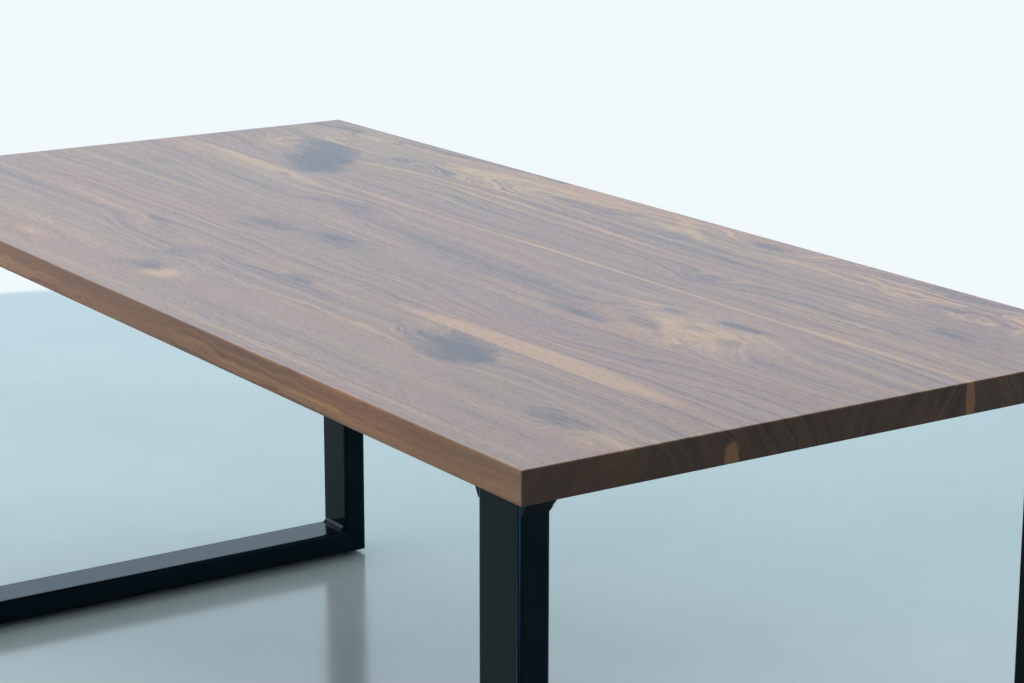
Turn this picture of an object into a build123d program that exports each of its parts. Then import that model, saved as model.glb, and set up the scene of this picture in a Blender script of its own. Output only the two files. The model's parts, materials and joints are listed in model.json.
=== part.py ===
from build123d import *

import os

# Dining table: an edge-glued solid walnut top bolted to two welded U-shaped frames of steel tube,
# each standing on two levelling feet. Millimetres. The origin is on the floor under the middle of
# the top, +X along the top, +Y across it and +Z up. The right frame is at +X, the left at -X, and
# front is -Y.

# Tabletop: boards glued edge to edge, listed from front to back
top_length = 1800.0
top_thickness = 36.0
board_widths = [149.0, 93.0, 155.0, 168.0, 167.0, 118.0]
rim_radius = 2.0  # softened edge all round, above and below
top_corner_radius = 3.0  # upright corners of the top

# Height of the finished surface above the floor
table_height = 716.0

# Leg frames: rectangular tube with its wide side along X
tube_wide = 75.0
tube_thick = 38.0
tube_wall = 2.3
tube_corner = 6.0  # outside radius along the tube
end_inset = 50.0  # end of the top to the frame
side_inset = 32.0  # long side of the top to the frame

# Mounting plate: flat bar welded across the two posts of a frame
plate_thickness = 9.0
plate_margin = 5.5  # bare plate outside the weld
plate_corner = 5.0

# Weld round the top of each post, on the three sides that aren't ground flush
top_weld_reach = 12.0
top_weld_drop = 20.0
top_weld_toe = 0.8
top_weld_setback = 2.0  # outer face of the frame to where the weld is ground off

# Weld in the inside corner of post and rail
corner_weld_leg = 7.0
corner_weld_crown = 0.8

# Button-head bolts, washers and threaded inserts that hold a plate to the top, one in each board,
# staggered in two rows
bolt_diameter = 8.0
bolt_engagement = 14.4  # length of bolt inside the top
bolt_head_diameter = 14.0
bolt_head_height = 4.4
bolt_head_edge = 1.6  # upright band below the dome
bolt_socket_flats = 5.0
bolt_socket_depth = 2.6
bolt_row_offset = 38.0  # plate's middle line to each row
bolt_to_weld = 18.0  # room for the washer and the key
slot_clearance = 0.5  # bolt to each side of its slot
grain_movement = 0.01  # shrinking or swelling of the top, as a share of the way from its middle
washer_diameter = 22.0  # wide enough to cover the longest slot
washer_clearance = 0.2
washer_thickness = 1.6
insert_wall = 1.95
insert_length = 18.0
insert_hole_spare = 2.0  # hole deeper than the insert

# Levelling feet: a nylon pad on a threaded stud, in a nut welded inside the rail
pad_diameter = 20.0
pad_height = 4.5
pad_chamfer = 0.8
flange_diameter = 15.0
flange_height = 1.5
collar_flats = 11.0
collar_height = 1.3
collar_clearance = 0.2  # collar to the underside of the rail, fully screwed in
stud_diameter = 8.0
stud_length = 24.0
stud_hole_clearance = 1.0
foot_nut_flats = 14.0
foot_nut_height = 6.5

thread_clearance = 0.05  # all round a thread, between its plain stand-in cylinders
thread_chamfer = 1.0

# Worked out from the sizes above
top_width = sum(board_widths)
underside = table_height - top_thickness
plate_underside = underside - plate_thickness
rail_bottom = pad_height + collar_height + collar_clearance
rail_top = rail_bottom + tube_thick
frame_width = top_width - 2 * side_inset
frame_half_width = frame_width / 2
frame_x = top_length / 2 - end_inset - tube_wide / 2
post_y = frame_half_width - tube_thick / 2
post_inner_y = frame_half_width - tube_thick
plate_width = tube_wide + 2 * (top_weld_reach + plate_margin)
outer_bolt_y = post_inner_y - top_weld_reach - bolt_to_weld
bolt_length = washer_thickness + plate_thickness + bolt_engagement
insert_radius = bolt_diameter / 2 + thread_clearance + insert_wall

same_place = 0.01  # two coordinates this close are the same

ENDS = [("left", -1), ("right", 1)]
SIDES = [("front", -1), ("back", 1)]


def save(piece, name):
    """Label a finished piece and write its file."""
    piece.part.label = name
    export_step(piece.part, f"parts/{name}.step")


def bolt_places(end):
    """The X, Y places of one frame's bolts: in the middle of each board, or beside the weld."""
    places = []
    front_y = -top_width / 2
    row = -1
    for width in board_widths:
        middle_y = front_y + width / 2
        y = max(-outer_bolt_y, min(outer_bolt_y, middle_y))
        places.append((end * frame_x + row * bolt_row_offset, y))
        front_y += width
        row = -row
    return places


def tube_section():
    """The hollow cross-section of the tube, with the wide side along the sketch's X."""
    RectangleRounded(tube_wide, tube_thick, tube_corner)
    RectangleRounded(
        tube_wide - 2 * tube_wall,
        tube_thick - 2 * tube_wall,
        tube_corner - tube_wall,
        mode=Mode.SUBTRACT,
    )


def mitre_plane(end, side):
    """The 45 degree plane between a post, above it, and the rail, below it."""
    corner = (end * frame_x, side * frame_half_width, rail_bottom)
    return Plane(origin=corner, x_dir=(1, 0, 0), z_dir=(0, side, 1))


# Tabletop boards


def make_board(front_y, width, is_front, is_back):
    """One board of the top, rounded where it is on the outside, with its insert holes."""
    back_y = front_y + width
    glued_faces = [y for y, outside in ((front_y, is_front), (back_y, is_back)) if not outside]

    def is_rim(edge):
        return all(abs(edge.center().Y - y) > same_place for y in glued_faces)

    with BuildPart() as board:
        with BuildSketch(Plane.XY.offset(underside)):
            with Locations((0, (front_y + back_y) / 2)):
                Rectangle(top_length, width)
        extrude(amount=top_thickness)
        upright = board.edges().filter_by(Axis.Z).group_by(Axis.Y)
        if is_front:
            fillet(upright[0], top_corner_radius)
        if is_back:
            fillet(upright[-1], top_corner_radius)
        level_edges = board.edges().filter_by(Axis.Z, reverse=True)
        fillet(level_edges.filter_by(is_rim), rim_radius)
        with BuildSketch(Plane.XY.offset(underside)):
            with Locations(*bolt_places(-1), *bolt_places(1)):
                Circle(insert_radius)
        extrude(amount=insert_length + insert_hole_spare, mode=Mode.SUBTRACT)
    return board


# Leg frames


def make_plate(end):
    """The flat bar across the top of a frame, slotted across the grain."""
    with BuildPart() as plate:
        with BuildSketch(Plane.XY.offset(plate_underside)):
            with Locations((end * frame_x, 0)):
                RectangleRounded(plate_width, frame_width, plate_corner)
            slot_width = bolt_diameter + 2 * slot_clearance
            for x, y in bolt_places(end):
                slot_length = slot_width + 2 * grain_movement * abs(y)
                with Locations((x, y)):
                    SlotOverall(slot_length, slot_width, rotation=90, mode=Mode.SUBTRACT)
        extrude(amount=plate_thickness)
    return plate


def make_post(end, side):
    """An upright tube, mitred at its foot and square under the plate."""
    with BuildPart() as post:
        with BuildSketch(Plane.XY.offset(rail_bottom)):
            with Locations((end * frame_x, side * post_y)):
                tube_section()
        extrude(amount=plate_underside - rail_bottom)
        split(bisect_by=mitre_plane(end, side), keep=Keep.TOP)
    return post


def make_rail(end):
    """The bottom tube, mitred at both ends, with a hole under each post for its foot."""
    start = (end * frame_x, frame_half_width, (rail_bottom + rail_top) / 2)
    with BuildPart() as rail:
        with BuildSketch(Plane(origin=start, x_dir=(1, 0, 0), z_dir=(0, -1, 0))):
            tube_section()
        extrude(amount=frame_width)
        for _, side in SIDES:
            split(bisect_by=mitre_plane(end, side), keep=Keep.BOTTOM)
        with BuildSketch(Plane.XY.offset(rail_bottom)):
            with Locations((end * frame_x, -post_y), (end * frame_x, post_y)):
                Circle(stud_diameter / 2 + stud_hole_clearance)
        extrude(amount=tube_wall, mode=Mode.SUBTRACT)
    return rail


def make_top_weld(end, side):
    """The sloping weld under the plate, round three sides of a post."""
    post_place = (end * frame_x, side * post_y)
    with BuildPart() as weld:
        with BuildSketch(Plane.XY.offset(plate_underside - top_weld_drop)):
            with Locations(post_place):
                RectangleRounded(
                    tube_wide + 2 * top_weld_toe,
                    tube_thick + 2 * top_weld_toe,
                    tube_corner + top_weld_toe,
                )
        with BuildSketch(Plane.XY.offset(plate_underside)):
            with Locations(post_place):
                RectangleRounded(
                    tube_wide + 2 * top_weld_reach,
                    tube_thick + 2 * top_weld_reach,
                    tube_corner + top_weld_reach,
                )
        loft()
        with BuildSketch(Plane.XY.offset(plate_underside - top_weld_drop)):
            with Locations(post_place):
                RectangleRounded(tube_wide, tube_thick, tube_corner)
        extrude(amount=top_weld_drop, mode=Mode.SUBTRACT)
        ground_face = (0, side * (frame_half_width - top_weld_setback), 0)
        split(bisect_by=Plane(origin=ground_face, z_dir=(0, side, 0)), keep=Keep.BOTTOM)
    return weld


def make_corner_weld(end, side):
    """The crowned bead in the inside corner between a post and the rail."""
    bead_length = tube_wide - 2 * tube_corner
    root = Vector(side * post_inner_y, rail_top)
    on_rail = root - Vector(side * corner_weld_leg, 0)
    on_post = root + Vector(0, corner_weld_leg)
    outward = Vector(-side, 1).normalized() * corner_weld_crown
    with BuildPart() as weld:
        with BuildSketch(Plane.YZ.offset(end * frame_x - bead_length / 2)):
            with BuildLine():
                Polyline(on_rail, root, on_post)
                ThreePointArc(on_post, (on_post + on_rail) / 2 + outward, on_rail)
            make_face()
        extrude(amount=bead_length)
    return weld


# Fixings of one frame: identical pieces share a node


def make_bolt():
    """A button-head bolt standing on the origin, with the underside of its head at Z = 0."""
    head_radius = bolt_head_diameter / 2
    dome_height = bolt_head_height - bolt_head_edge
    dome_radius = (head_radius**2 + dome_height**2) / (2 * dome_height)
    with BuildPart() as bolt:
        with BuildSketch(Plane.XZ):
            with BuildLine():
                Polyline(
                    (0, -bolt_head_height),
                    (0, bolt_length),
                    (bolt_diameter / 2 - thread_chamfer, bolt_length),
                    (bolt_diameter / 2, bolt_length - thread_chamfer),
                    (bolt_diameter / 2, 0),
                    (head_radius, 0),
                    (head_radius, -bolt_head_edge),
                )
                RadiusArc((head_radius, -bolt_head_edge), (0, -bolt_head_height), dome_radius)
            make_face()
        revolve(axis=Axis.Z)
        with BuildSketch(Plane.XY.offset(-bolt_head_height)):
            RegularPolygon(bolt_socket_flats / 2, 6, major_radius=False)
        extrude(amount=bolt_socket_depth, mode=Mode.SUBTRACT)
    return bolt


def make_bolts(end):
    """The bolts of one frame, heads under the washers."""
    bolt = make_bolt()
    head_seat = plate_underside - washer_thickness
    with BuildPart() as bolts:
        with Locations(*[(x, y, head_seat) for x, y in bolt_places(end)]):
            add(bolt.part)
    return bolts


def make_washers(end):
    """The washers of one frame, against the plate."""
    with BuildPart() as washers:
        with BuildSketch(Plane.XY.offset(plate_underside - washer_thickness)):
            with Locations(*bolt_places(end)):
                Circle(washer_diameter / 2)
                Circle(bolt_diameter / 2 + washer_clearance, mode=Mode.SUBTRACT)
        extrude(amount=washer_thickness)
    return washers


def make_inserts(end):
    """The threaded inserts of one frame, flush with the underside of the top."""
    with BuildPart() as inserts:
        with BuildSketch(Plane.XY.offset(underside)):
            with Locations(*bolt_places(end)):
                Circle(insert_radius)
                Circle(bolt_diameter / 2 + thread_clearance, mode=Mode.SUBTRACT)
        extrude(amount=insert_length)
    return inserts


# Levelling feet


def make_foot_nut(end, side):
    """The nut welded inside the rail, on its bottom wall."""
    with BuildPart() as nut:
        with BuildSketch(Plane.XY.offset(rail_bottom + tube_wall)):
            with Locations((end * frame_x, side * post_y)):
                RegularPolygon(foot_nut_flats / 2, 6, major_radius=False)
                Circle(stud_diameter / 2 + thread_clearance, mode=Mode.SUBTRACT)
        extrude(amount=foot_nut_height)
    return nut


def make_foot_pad(end, side):
    """The nylon pad, with a seat for the stud's flange."""
    place = (end * frame_x, side * post_y)
    with BuildPart() as pad:
        with BuildSketch():
            with Locations(place):
                Circle(pad_diameter / 2)
        extrude(amount=pad_height)
        chamfer(pad.edges().group_by(Axis.Z)[0], pad_chamfer)
        with BuildSketch(Plane.XY.offset(pad_height - flange_height)):
            with Locations(place):
                Circle(flange_diameter / 2)
        extrude(amount=flange_height, mode=Mode.SUBTRACT)
    return pad


def make_foot_stud(end, side):
    """The threaded stud, with its flange in the pad and a hexagon collar to turn it by."""
    place = (end * frame_x, side * post_y)
    with BuildPart() as stud:
        with BuildSketch(Plane.XY.offset(pad_height - flange_height)):
            with Locations(place):
                Circle(flange_diameter / 2)
        extrude(amount=flange_height)
        with BuildSketch(Plane.XY.offset(pad_height)):
            with Locations(place):
                RegularPolygon(collar_flats / 2, 6, major_radius=False)
        extrude(amount=collar_height)
        with BuildSketch(Plane.XY.offset(pad_height + collar_height)):
            with Locations(place):
                Circle(stud_diameter / 2)
        extrude(amount=stud_length)
        chamfer(stud.edges().group_by(Axis.Z)[-1], thread_chamfer)
    return stud


os.makedirs("parts", exist_ok=True)

board_front = -top_width / 2
last_board = len(board_widths)
for number, board_width in enumerate(board_widths, start=1):
    board = make_board(board_front, board_width, number == 1, number == last_board)
    save(board, f"top_board_{number}")
    board_front += board_width

for end_name, end in ENDS:
    save(make_plate(end), f"{end_name}_mounting_plate")
    save(make_rail(end), f"{end_name}_bottom_rail")
    save(make_bolts(end), f"{end_name}_plate_bolts")
    save(make_washers(end), f"{end_name}_plate_washers")
    save(make_inserts(end), f"{end_name}_threaded_inserts")
    for side_name, side in SIDES:
        corner_name = f"{end_name}_{side_name}"
        save(make_post(end, side), f"{corner_name}_post")
        save(make_top_weld(end, side), f"{corner_name}_top_weld")
        save(make_corner_weld(end, side), f"{corner_name}_corner_weld")
        save(make_foot_nut(end, side), f"{corner_name}_foot_nut")
        save(make_foot_pad(end, side), f"{corner_name}_foot_pad")
        save(make_foot_stud(end, side), f"{corner_name}_foot_stud")
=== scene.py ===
"""Dining table: six walnut boards glued edge to edge on two welded frames of black steel tube."""

import json
import math
from collections import namedtuple

import bmesh
import bpy
from bpy.props import FloatProperty, FloatVectorProperty, IntProperty, PointerProperty
from mathutils import Matrix, Vector

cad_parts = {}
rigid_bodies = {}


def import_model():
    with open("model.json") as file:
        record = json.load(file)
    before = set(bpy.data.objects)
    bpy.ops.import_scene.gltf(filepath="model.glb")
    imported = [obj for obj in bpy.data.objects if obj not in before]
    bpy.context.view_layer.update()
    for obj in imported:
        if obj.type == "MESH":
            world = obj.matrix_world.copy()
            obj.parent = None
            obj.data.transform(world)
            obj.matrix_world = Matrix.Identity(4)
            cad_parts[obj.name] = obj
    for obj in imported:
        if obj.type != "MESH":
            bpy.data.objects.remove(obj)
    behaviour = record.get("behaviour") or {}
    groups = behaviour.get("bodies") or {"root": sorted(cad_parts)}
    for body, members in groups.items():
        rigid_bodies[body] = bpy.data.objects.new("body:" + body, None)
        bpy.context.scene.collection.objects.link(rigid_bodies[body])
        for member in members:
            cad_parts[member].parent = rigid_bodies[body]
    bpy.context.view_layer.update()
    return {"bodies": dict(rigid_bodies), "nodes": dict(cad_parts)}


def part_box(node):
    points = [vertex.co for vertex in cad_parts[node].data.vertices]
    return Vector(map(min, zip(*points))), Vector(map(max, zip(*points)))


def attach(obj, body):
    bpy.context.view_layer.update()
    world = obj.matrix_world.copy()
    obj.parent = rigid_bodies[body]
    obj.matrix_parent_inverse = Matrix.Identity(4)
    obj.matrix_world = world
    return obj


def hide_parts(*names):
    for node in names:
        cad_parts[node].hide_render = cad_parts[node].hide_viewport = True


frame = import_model()

bl_info = {
    "name": "Walnut Dining Table",
    "version": (1, 0, 0),
    "blender": (4, 5, 0),
    "location": "View3D > Sidebar > Table",
    "description": "Finishes a walnut dining table on two welded steel frames",
    "category": "Object",
}

MM = 0.001
ENDS = {"left": -1, "right": 1}
SIDES = {"front": -1, "back": 1}
CORNERS = [(end, side) for end in ENDS for side in SIDES]


# Colours and nodes


def linear(hex_colour):
    """An sRGB hex colour as linear red, green, blue and an alpha of 1."""
    channels = [int(hex_colour[i : i + 2], 16) / 255 for i in (1, 3, 5)]
    return tuple(
        c / 12.92 if c <= 0.04045 else ((c + 0.055) / 1.055) ** 2.4 for c in channels
    ) + (1.0,)


def put(tree, kind, inputs=None, **settings):
    """Add a node. An input is a value, or the socket or node that feeds it."""
    node = tree.nodes.new(kind)
    for name, value in settings.items():
        setattr(node, name, value)
    for key, value in (inputs or {}).items():
        if isinstance(value, bpy.types.Node):
            value = next(socket for socket in value.outputs if socket.enabled)
        if isinstance(value, bpy.types.NodeSocket):
            tree.links.new(value, node.inputs[key])
        else:
            node.inputs[key].default_value = value
    return node


def set_stops(ramp, stops):
    """Give a colour ramp its stops, a list of position and colour."""
    elements = ramp.color_ramp.elements
    while len(elements) < len(stops):
        elements.new(1.0)
    for element, (position, colour) in zip(elements, stops):
        element.position = position
        element.color = colour


def new_material(name):
    """An empty material and its node tree, with a Principled shader on its output."""
    material = bpy.data.materials.new(name)
    material.use_nodes = True
    tree = material.node_tree
    tree.nodes.clear()
    shader = put(tree, "ShaderNodeBsdfPrincipled")
    put(tree, "ShaderNodeOutputMaterial", {"Surface": shader})
    return material, tree, shader


def connect(tree, shader, colour, rough, bump):
    """Link a material's colour, roughness and bump to its shader."""
    tree.links.new(colour.outputs["Result"], shader.inputs["Base Color"])
    tree.links.new(rough.outputs[0], shader.inputs["Roughness"])
    tree.links.new(bump.outputs["Normal"], shader.inputs["Normal"])


def dress(obj, material):
    """Give every material slot of a piece the same material."""
    if not obj.data.materials:
        obj.data.materials.append(material)
    for index in range(len(obj.data.materials)):
        obj.data.materials[index] = material


# Settings


def colour_property(name, description, hex_colour):
    return FloatVectorProperty(
        name=name, description=description, subtype="COLOR", size=4, min=0.0, max=1.0,
        default=linear(hex_colour))


def length_property(name, description, metres):
    return FloatProperty(
        name=name, description=description, default=metres, min=0.0, unit="LENGTH", precision=5)


def share_property(name, description, value):
    return FloatProperty(
        name=name, description=description, default=value, min=0.0, max=1.0, subtype="FACTOR")


class WalnutSettings(bpy.types.PropertyGroup):
    heartwood_dark: colour_property("Dark heartwood", "Latest wood of a year", "#472f29")
    heartwood: colour_property("Heartwood", "Most of the wood", "#7e5e48")
    heartwood_violet: colour_property("Violet heartwood", "Cool bands", "#664b44")
    heartwood_light: colour_property("Light heartwood", "Early wood of a year", "#917050")
    sapwood: colour_property("Sapwood", "Pale wood from under the bark", "#ab8455")
    sapwood_line: colour_property("Sapwood lines", "Year lines in the sapwood", "#8f6a42")
    warm_cast: colour_property("Warm cast", "Multiplies the warmest places", "#fff1eb")
    cool_cast: colour_property("Cool cast", "Multiplies the coolest places", "#e6f5f0")
    knot: colour_property("Knot", "Stained wood in and around a knot", "#161024")
    year_width: length_property("Year width", "Usual distance between year lines", 0.0036)
    band_width: length_property("Band width", "Usual width of the broad colour bands", 0.015)
    pore_length: length_property("Pore length", "Length of the open pores", 0.012)
    pore_width: length_property(
        "Pore width", "Width of the open pores, three times the real 0.2 mm", 0.0006
    )
    roughness: share_property("Oil roughness", "Roughness of the oiled face", 0.3)
    oil_shine: share_property("Oil shine", "Strength of the oil's reflections", 0.36)
    end_heartwood: colour_property("End heartwood", "Multiplies heartwood's end grain", "#857b77")
    end_sapwood: colour_property("End sapwood", "Multiplies sapwood's end grain", "#bbb0b4")


class PaintSettings(bpy.types.PropertyGroup):
    colour: colour_property("Paint", "Colour of the painted steel", "#040a0e")
    worn: colour_property("Dusty paint", "Colour where the paint is dulled", "#0a1115")
    roughness: share_property("Paint roughness", "Roughness of the painted steel", 0.15)
    shine: share_property("Paint shine", "Strength of the paint's reflections", 0.18)
    shine_tint: colour_property("Shine tint", "Colour of the paint's reflections", "#8cdcff")
    peel: length_property("Orange peel", "Distance between the dimples of the paint", 0.0022)
    ground_band: length_property("Ground band", "Half the width ground along a mitre", 0.007)


class FixingSettings(bpy.types.PropertyGroup):
    oxide: colour_property("Black oxide", "Colour of bolts and washers", "#232326")
    oxide_bloom: colour_property("Oxide bloom", "Browner patches in the oxide", "#34322f")
    zinc: colour_property("Zinc", "Colour of the plated steel", "#b9bcc0")
    zinc_bloom: colour_property("Zinc bloom", "Dull patches in the zinc", "#8f9296")
    nylon: colour_property("Nylon", "Colour of the foot pads", "#1b1b1c")
    nylon_scuff: colour_property("Nylon scuffs", "Rubbed patches on the pads", "#2a2a2b")
    thread_pitch: length_property("Thread pitch", "Pitch of the M8 thread", 0.00125)
    grips: IntProperty(name="Grips", description="Flutes round a foot pad", default=12, min=3)


class WeldSettings(bpy.types.PropertyGroup):
    ripple: length_property("Ripple", "Distance between ripples along a bead", 0.0028)
    ripple_height: length_property("Ripple height", "How far a ripple stands up", 0.00028)
    passes: IntProperty(name="Passes", description="Beads side by side in the top weld", default=3)
    bead_height: length_property("Bead height", "How far each bead stands up", 0.0004)


class StageSettings(bpy.types.PropertyGroup):
    floor: colour_property("Floor", "Colour of the floor", "#93a6a5")
    floor_cloud: colour_property("Floor clouds", "Paler clouds in the floor", "#9eb1b0")
    backdrop: colour_property("Backdrop", "Colour of everything far away", "#f1f9fd")
    floor_radius: length_property("Floor radius", "Where the floor turns into the backdrop", 3.03)
    fill: colour_property("Fill light", "Colour of the light from all round", "#e9eef6")
    fill_strength: share_property("Fill strength", "Strength of the light from all round", 0.62)
    lens: FloatProperty(name="Lens", description="Focal length", default=92.47, unit="CAMERA")
    camera_place: FloatVectorProperty(
        name="Camera", description="Place of the camera", subtype="TRANSLATION",
        default=(2.8481, -1.7414, 1.4442), precision=4,
    )
    camera_turn: FloatProperty(
        name="Turn", description="Direction of view from +Y", subtype="ANGLE",
        default=math.radians(56.164),
    )
    camera_dip: FloatProperty(
        name="Dip", description="Angle of view below level", subtype="ANGLE",
        default=math.radians(14.3905),
    )
    camera_roll: FloatProperty(
        name="Roll", description="Tilt of the camera", subtype="ANGLE",
        default=math.radians(0.089),
    )


SETTINGS = {
    "table_walnut": WalnutSettings,
    "table_paint": PaintSettings,
    "table_fixings": FixingSettings,
    "table_welds": WeldSettings,
    "table_stage": StageSettings,
}


# Walnut
#
# The tree's rings run through each board as a solid, so face, edge and end grain agree. A ring's
# distance from the heart of the tree is bent round the knots, and the colour follows it. Noise
# scales are repeats a metre along, across and down: few along the grain, many across it.

# What a feature does at its middle: raises the rings, shifts the tone, stains, turns to sapwood
# and curls the grain
Effect = namedtuple("Effect", "rise tone stain sapwood curl", defaults=(0.0,) * 5)
EFFECTS = {
    "knot": Effect(rise=0.042, tone=-0.15, stain=1.0, curl=1.0),
    "stain": Effect(rise=0.012, tone=-0.3, stain=1.1, curl=0.7),
    "swirl": Effect(rise=0.04, tone=0.32, curl=1.0),
    "figure": Effect(rise=0.03, curl=0.3),
    "light": Effect(tone=0.5),
    "dark": Effect(tone=-0.4),
    "sapwood": Effect(sapwood=1.5),
}

# Along is from the middle of the top to the right, across is from the board's front edge, down is
# from the top face, all in mm, as are the reaches along, across and down. Turn is in degrees.
Feature = namedtuple(
    "Feature", "kind along across reach_along reach_across strength turn down reach_down",
    defaults=(1.0, 0.0, 0.0, 45.0),
)

# The heart of the tree: across from the board's front edge and down from the top face in mm, and
# how far it runs out of line, up and sideways, in mm a metre. Wander is how much the grain swells.
Board = namedtuple(
    "Board", "seed heart_across heart_down climb drift wander tone contrast features")

BOARDS = {
    "top_board_1": Board(3.1, 250, 230, 14, 10, 0.3, 0.04, 1.0, [
        Feature("knot", -86, 102, 62, 40, 0.9),
        Feature("swirl", -34, 104, 62, 42),
        Feature("light", -42, 92, 46, 34, 0.8, 20),
        Feature("stain", 778, 134, 80, 44, 0.6),
        Feature("swirl", 858, 112, 90, 48, 0.8),
        Feature("figure", -355, 68, 130, 34, 0.8),
        Feature("light", -355, 68, 80, 20, 0.5),
        Feature("dark", 640, 120, 160, 20, 0.4),
    ]),
    "top_board_2": Board(11.7, -110, 150, 14, -12, 1.0, -0.02, 1.1, [
        Feature("stain", 470, 42, 105, 60, 0.9, -10),
        Feature("stain", 505, 34, 60, 50, 0.6, 30),
        Feature("figure", 476, 40, 150, 60),
        Feature("stain", 98, 68, 60, 36, 0.55),
        Feature("stain", -320, 86, 64, 22, 0.7),
        Feature("figure", -240, 36, 190, 44),
        Feature("stain", -114, 18, 50, 24, 0.5),
    ]),
    "top_board_3": Board(21.3, -150, 120, -12, 12, 1.0, -0.03, 0.95, [
        Feature("knot", -223, 103, 84, 52, 0.8),
        Feature("figure", -223, 103, 170, 70, 0.7),
        Feature("light", -238, 84, 70, 12, 0.5, 8),
        Feature("stain", -96, 128, 140, 40, 0.5),
        Feature("sapwood", 560, 16, 430, 34, 1.0, 0.7),
        Feature("figure", 480, 90, 380, 60),
        Feature("sapwood", 905, 0, 60, 22, 1.3, 0, 44, 50),
    ]),
    "top_board_4": Board(35.9, 330, 130, 16, -14, 1.0, 0.0, 1.15, [
        Feature("light", -640, 142, 420, 40, 0.9, -2),
        Feature("stain", -524, 137, 40, 10, 0.4),
        Feature("figure", -268, 112, 150, 56, 1.2),
        Feature("dark", -262, 114, 100, 40, 0.6),
        Feature("dark", 90, 66, 520, 46, 0.6, -3),
        Feature("stain", -10, 66, 30, 8, 0.4),
        Feature("swirl", 540, 78, 210, 100, 1.3),
        Feature("light", 600, 84, 150, 56, 0.5, 6),
        Feature("light", 420, 112, 110, 26, 0.5, -8),
        Feature("stain", 478, 60, 80, 26, 0.6, -15),
        Feature("stain", 556, 84, 50, 24, 0.5),
        Feature("stain", 622, 70, 40, 20, 0.5),
        Feature("stain", 596, 126, 74, 14, 1.1, 4),
        Feature("stain", 482, 111, 44, 14, 0.8, 4),
        Feature("stain", -722, 28, 66, 30, 0.3),
        Feature("stain", 420, 18, 120, 34, 0.6),
        Feature("light", 905, 116, 60, 62, 0.4, 0, 34, 24),
    ]),
    "top_board_5": Board(47.5, -170, 120, -10, -8, 1.0, -0.02, 1.3, [
        Feature("stain", -660, 104, 210, 84, 1.0, -30),
        Feature("stain", -585, 44, 120, 60, 0.9, -20),
        Feature("figure", -642, 96, 300, 100, 1.4),
        Feature("swirl", -772, 92, 120, 52, 0.9),
        Feature("knot", 379, 72, 56, 40, 0.6),
        Feature("figure", 379, 72, 130, 54, 0.9),
        Feature("stain", 746, 126, 110, 34, 0.4),
        Feature("swirl", 600, 110, 90, 34, 0.4),
        Feature("sapwood", 250, 1, 1100, 8, 1.1),
        Feature("sapwood", 905, 0, 60, 11, 0.9, 0, 20, 60),
    ]),
    "top_board_6": Board(59.3, 50, 62, 34, 10, 1.0, 0.1, 2.1, [
        Feature("swirl", -705, 72, 100, 32, 0.9),
        Feature("light", -355, 64, 210, 18, 0.7, 14),
        Feature("figure", -430, 20, 200, 50),
        Feature("knot", 261, 84, 74, 20, 0.8),
        Feature("figure", 261, 84, 170, 40),
        Feature("light", 120, 70, 130, 15, 0.8, -26),
        Feature("light", 400, 46, 260, 11, 0.5, -2),
        Feature("swirl", 700, 44, 130, 36, 0.7),
    ]),
}


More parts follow.
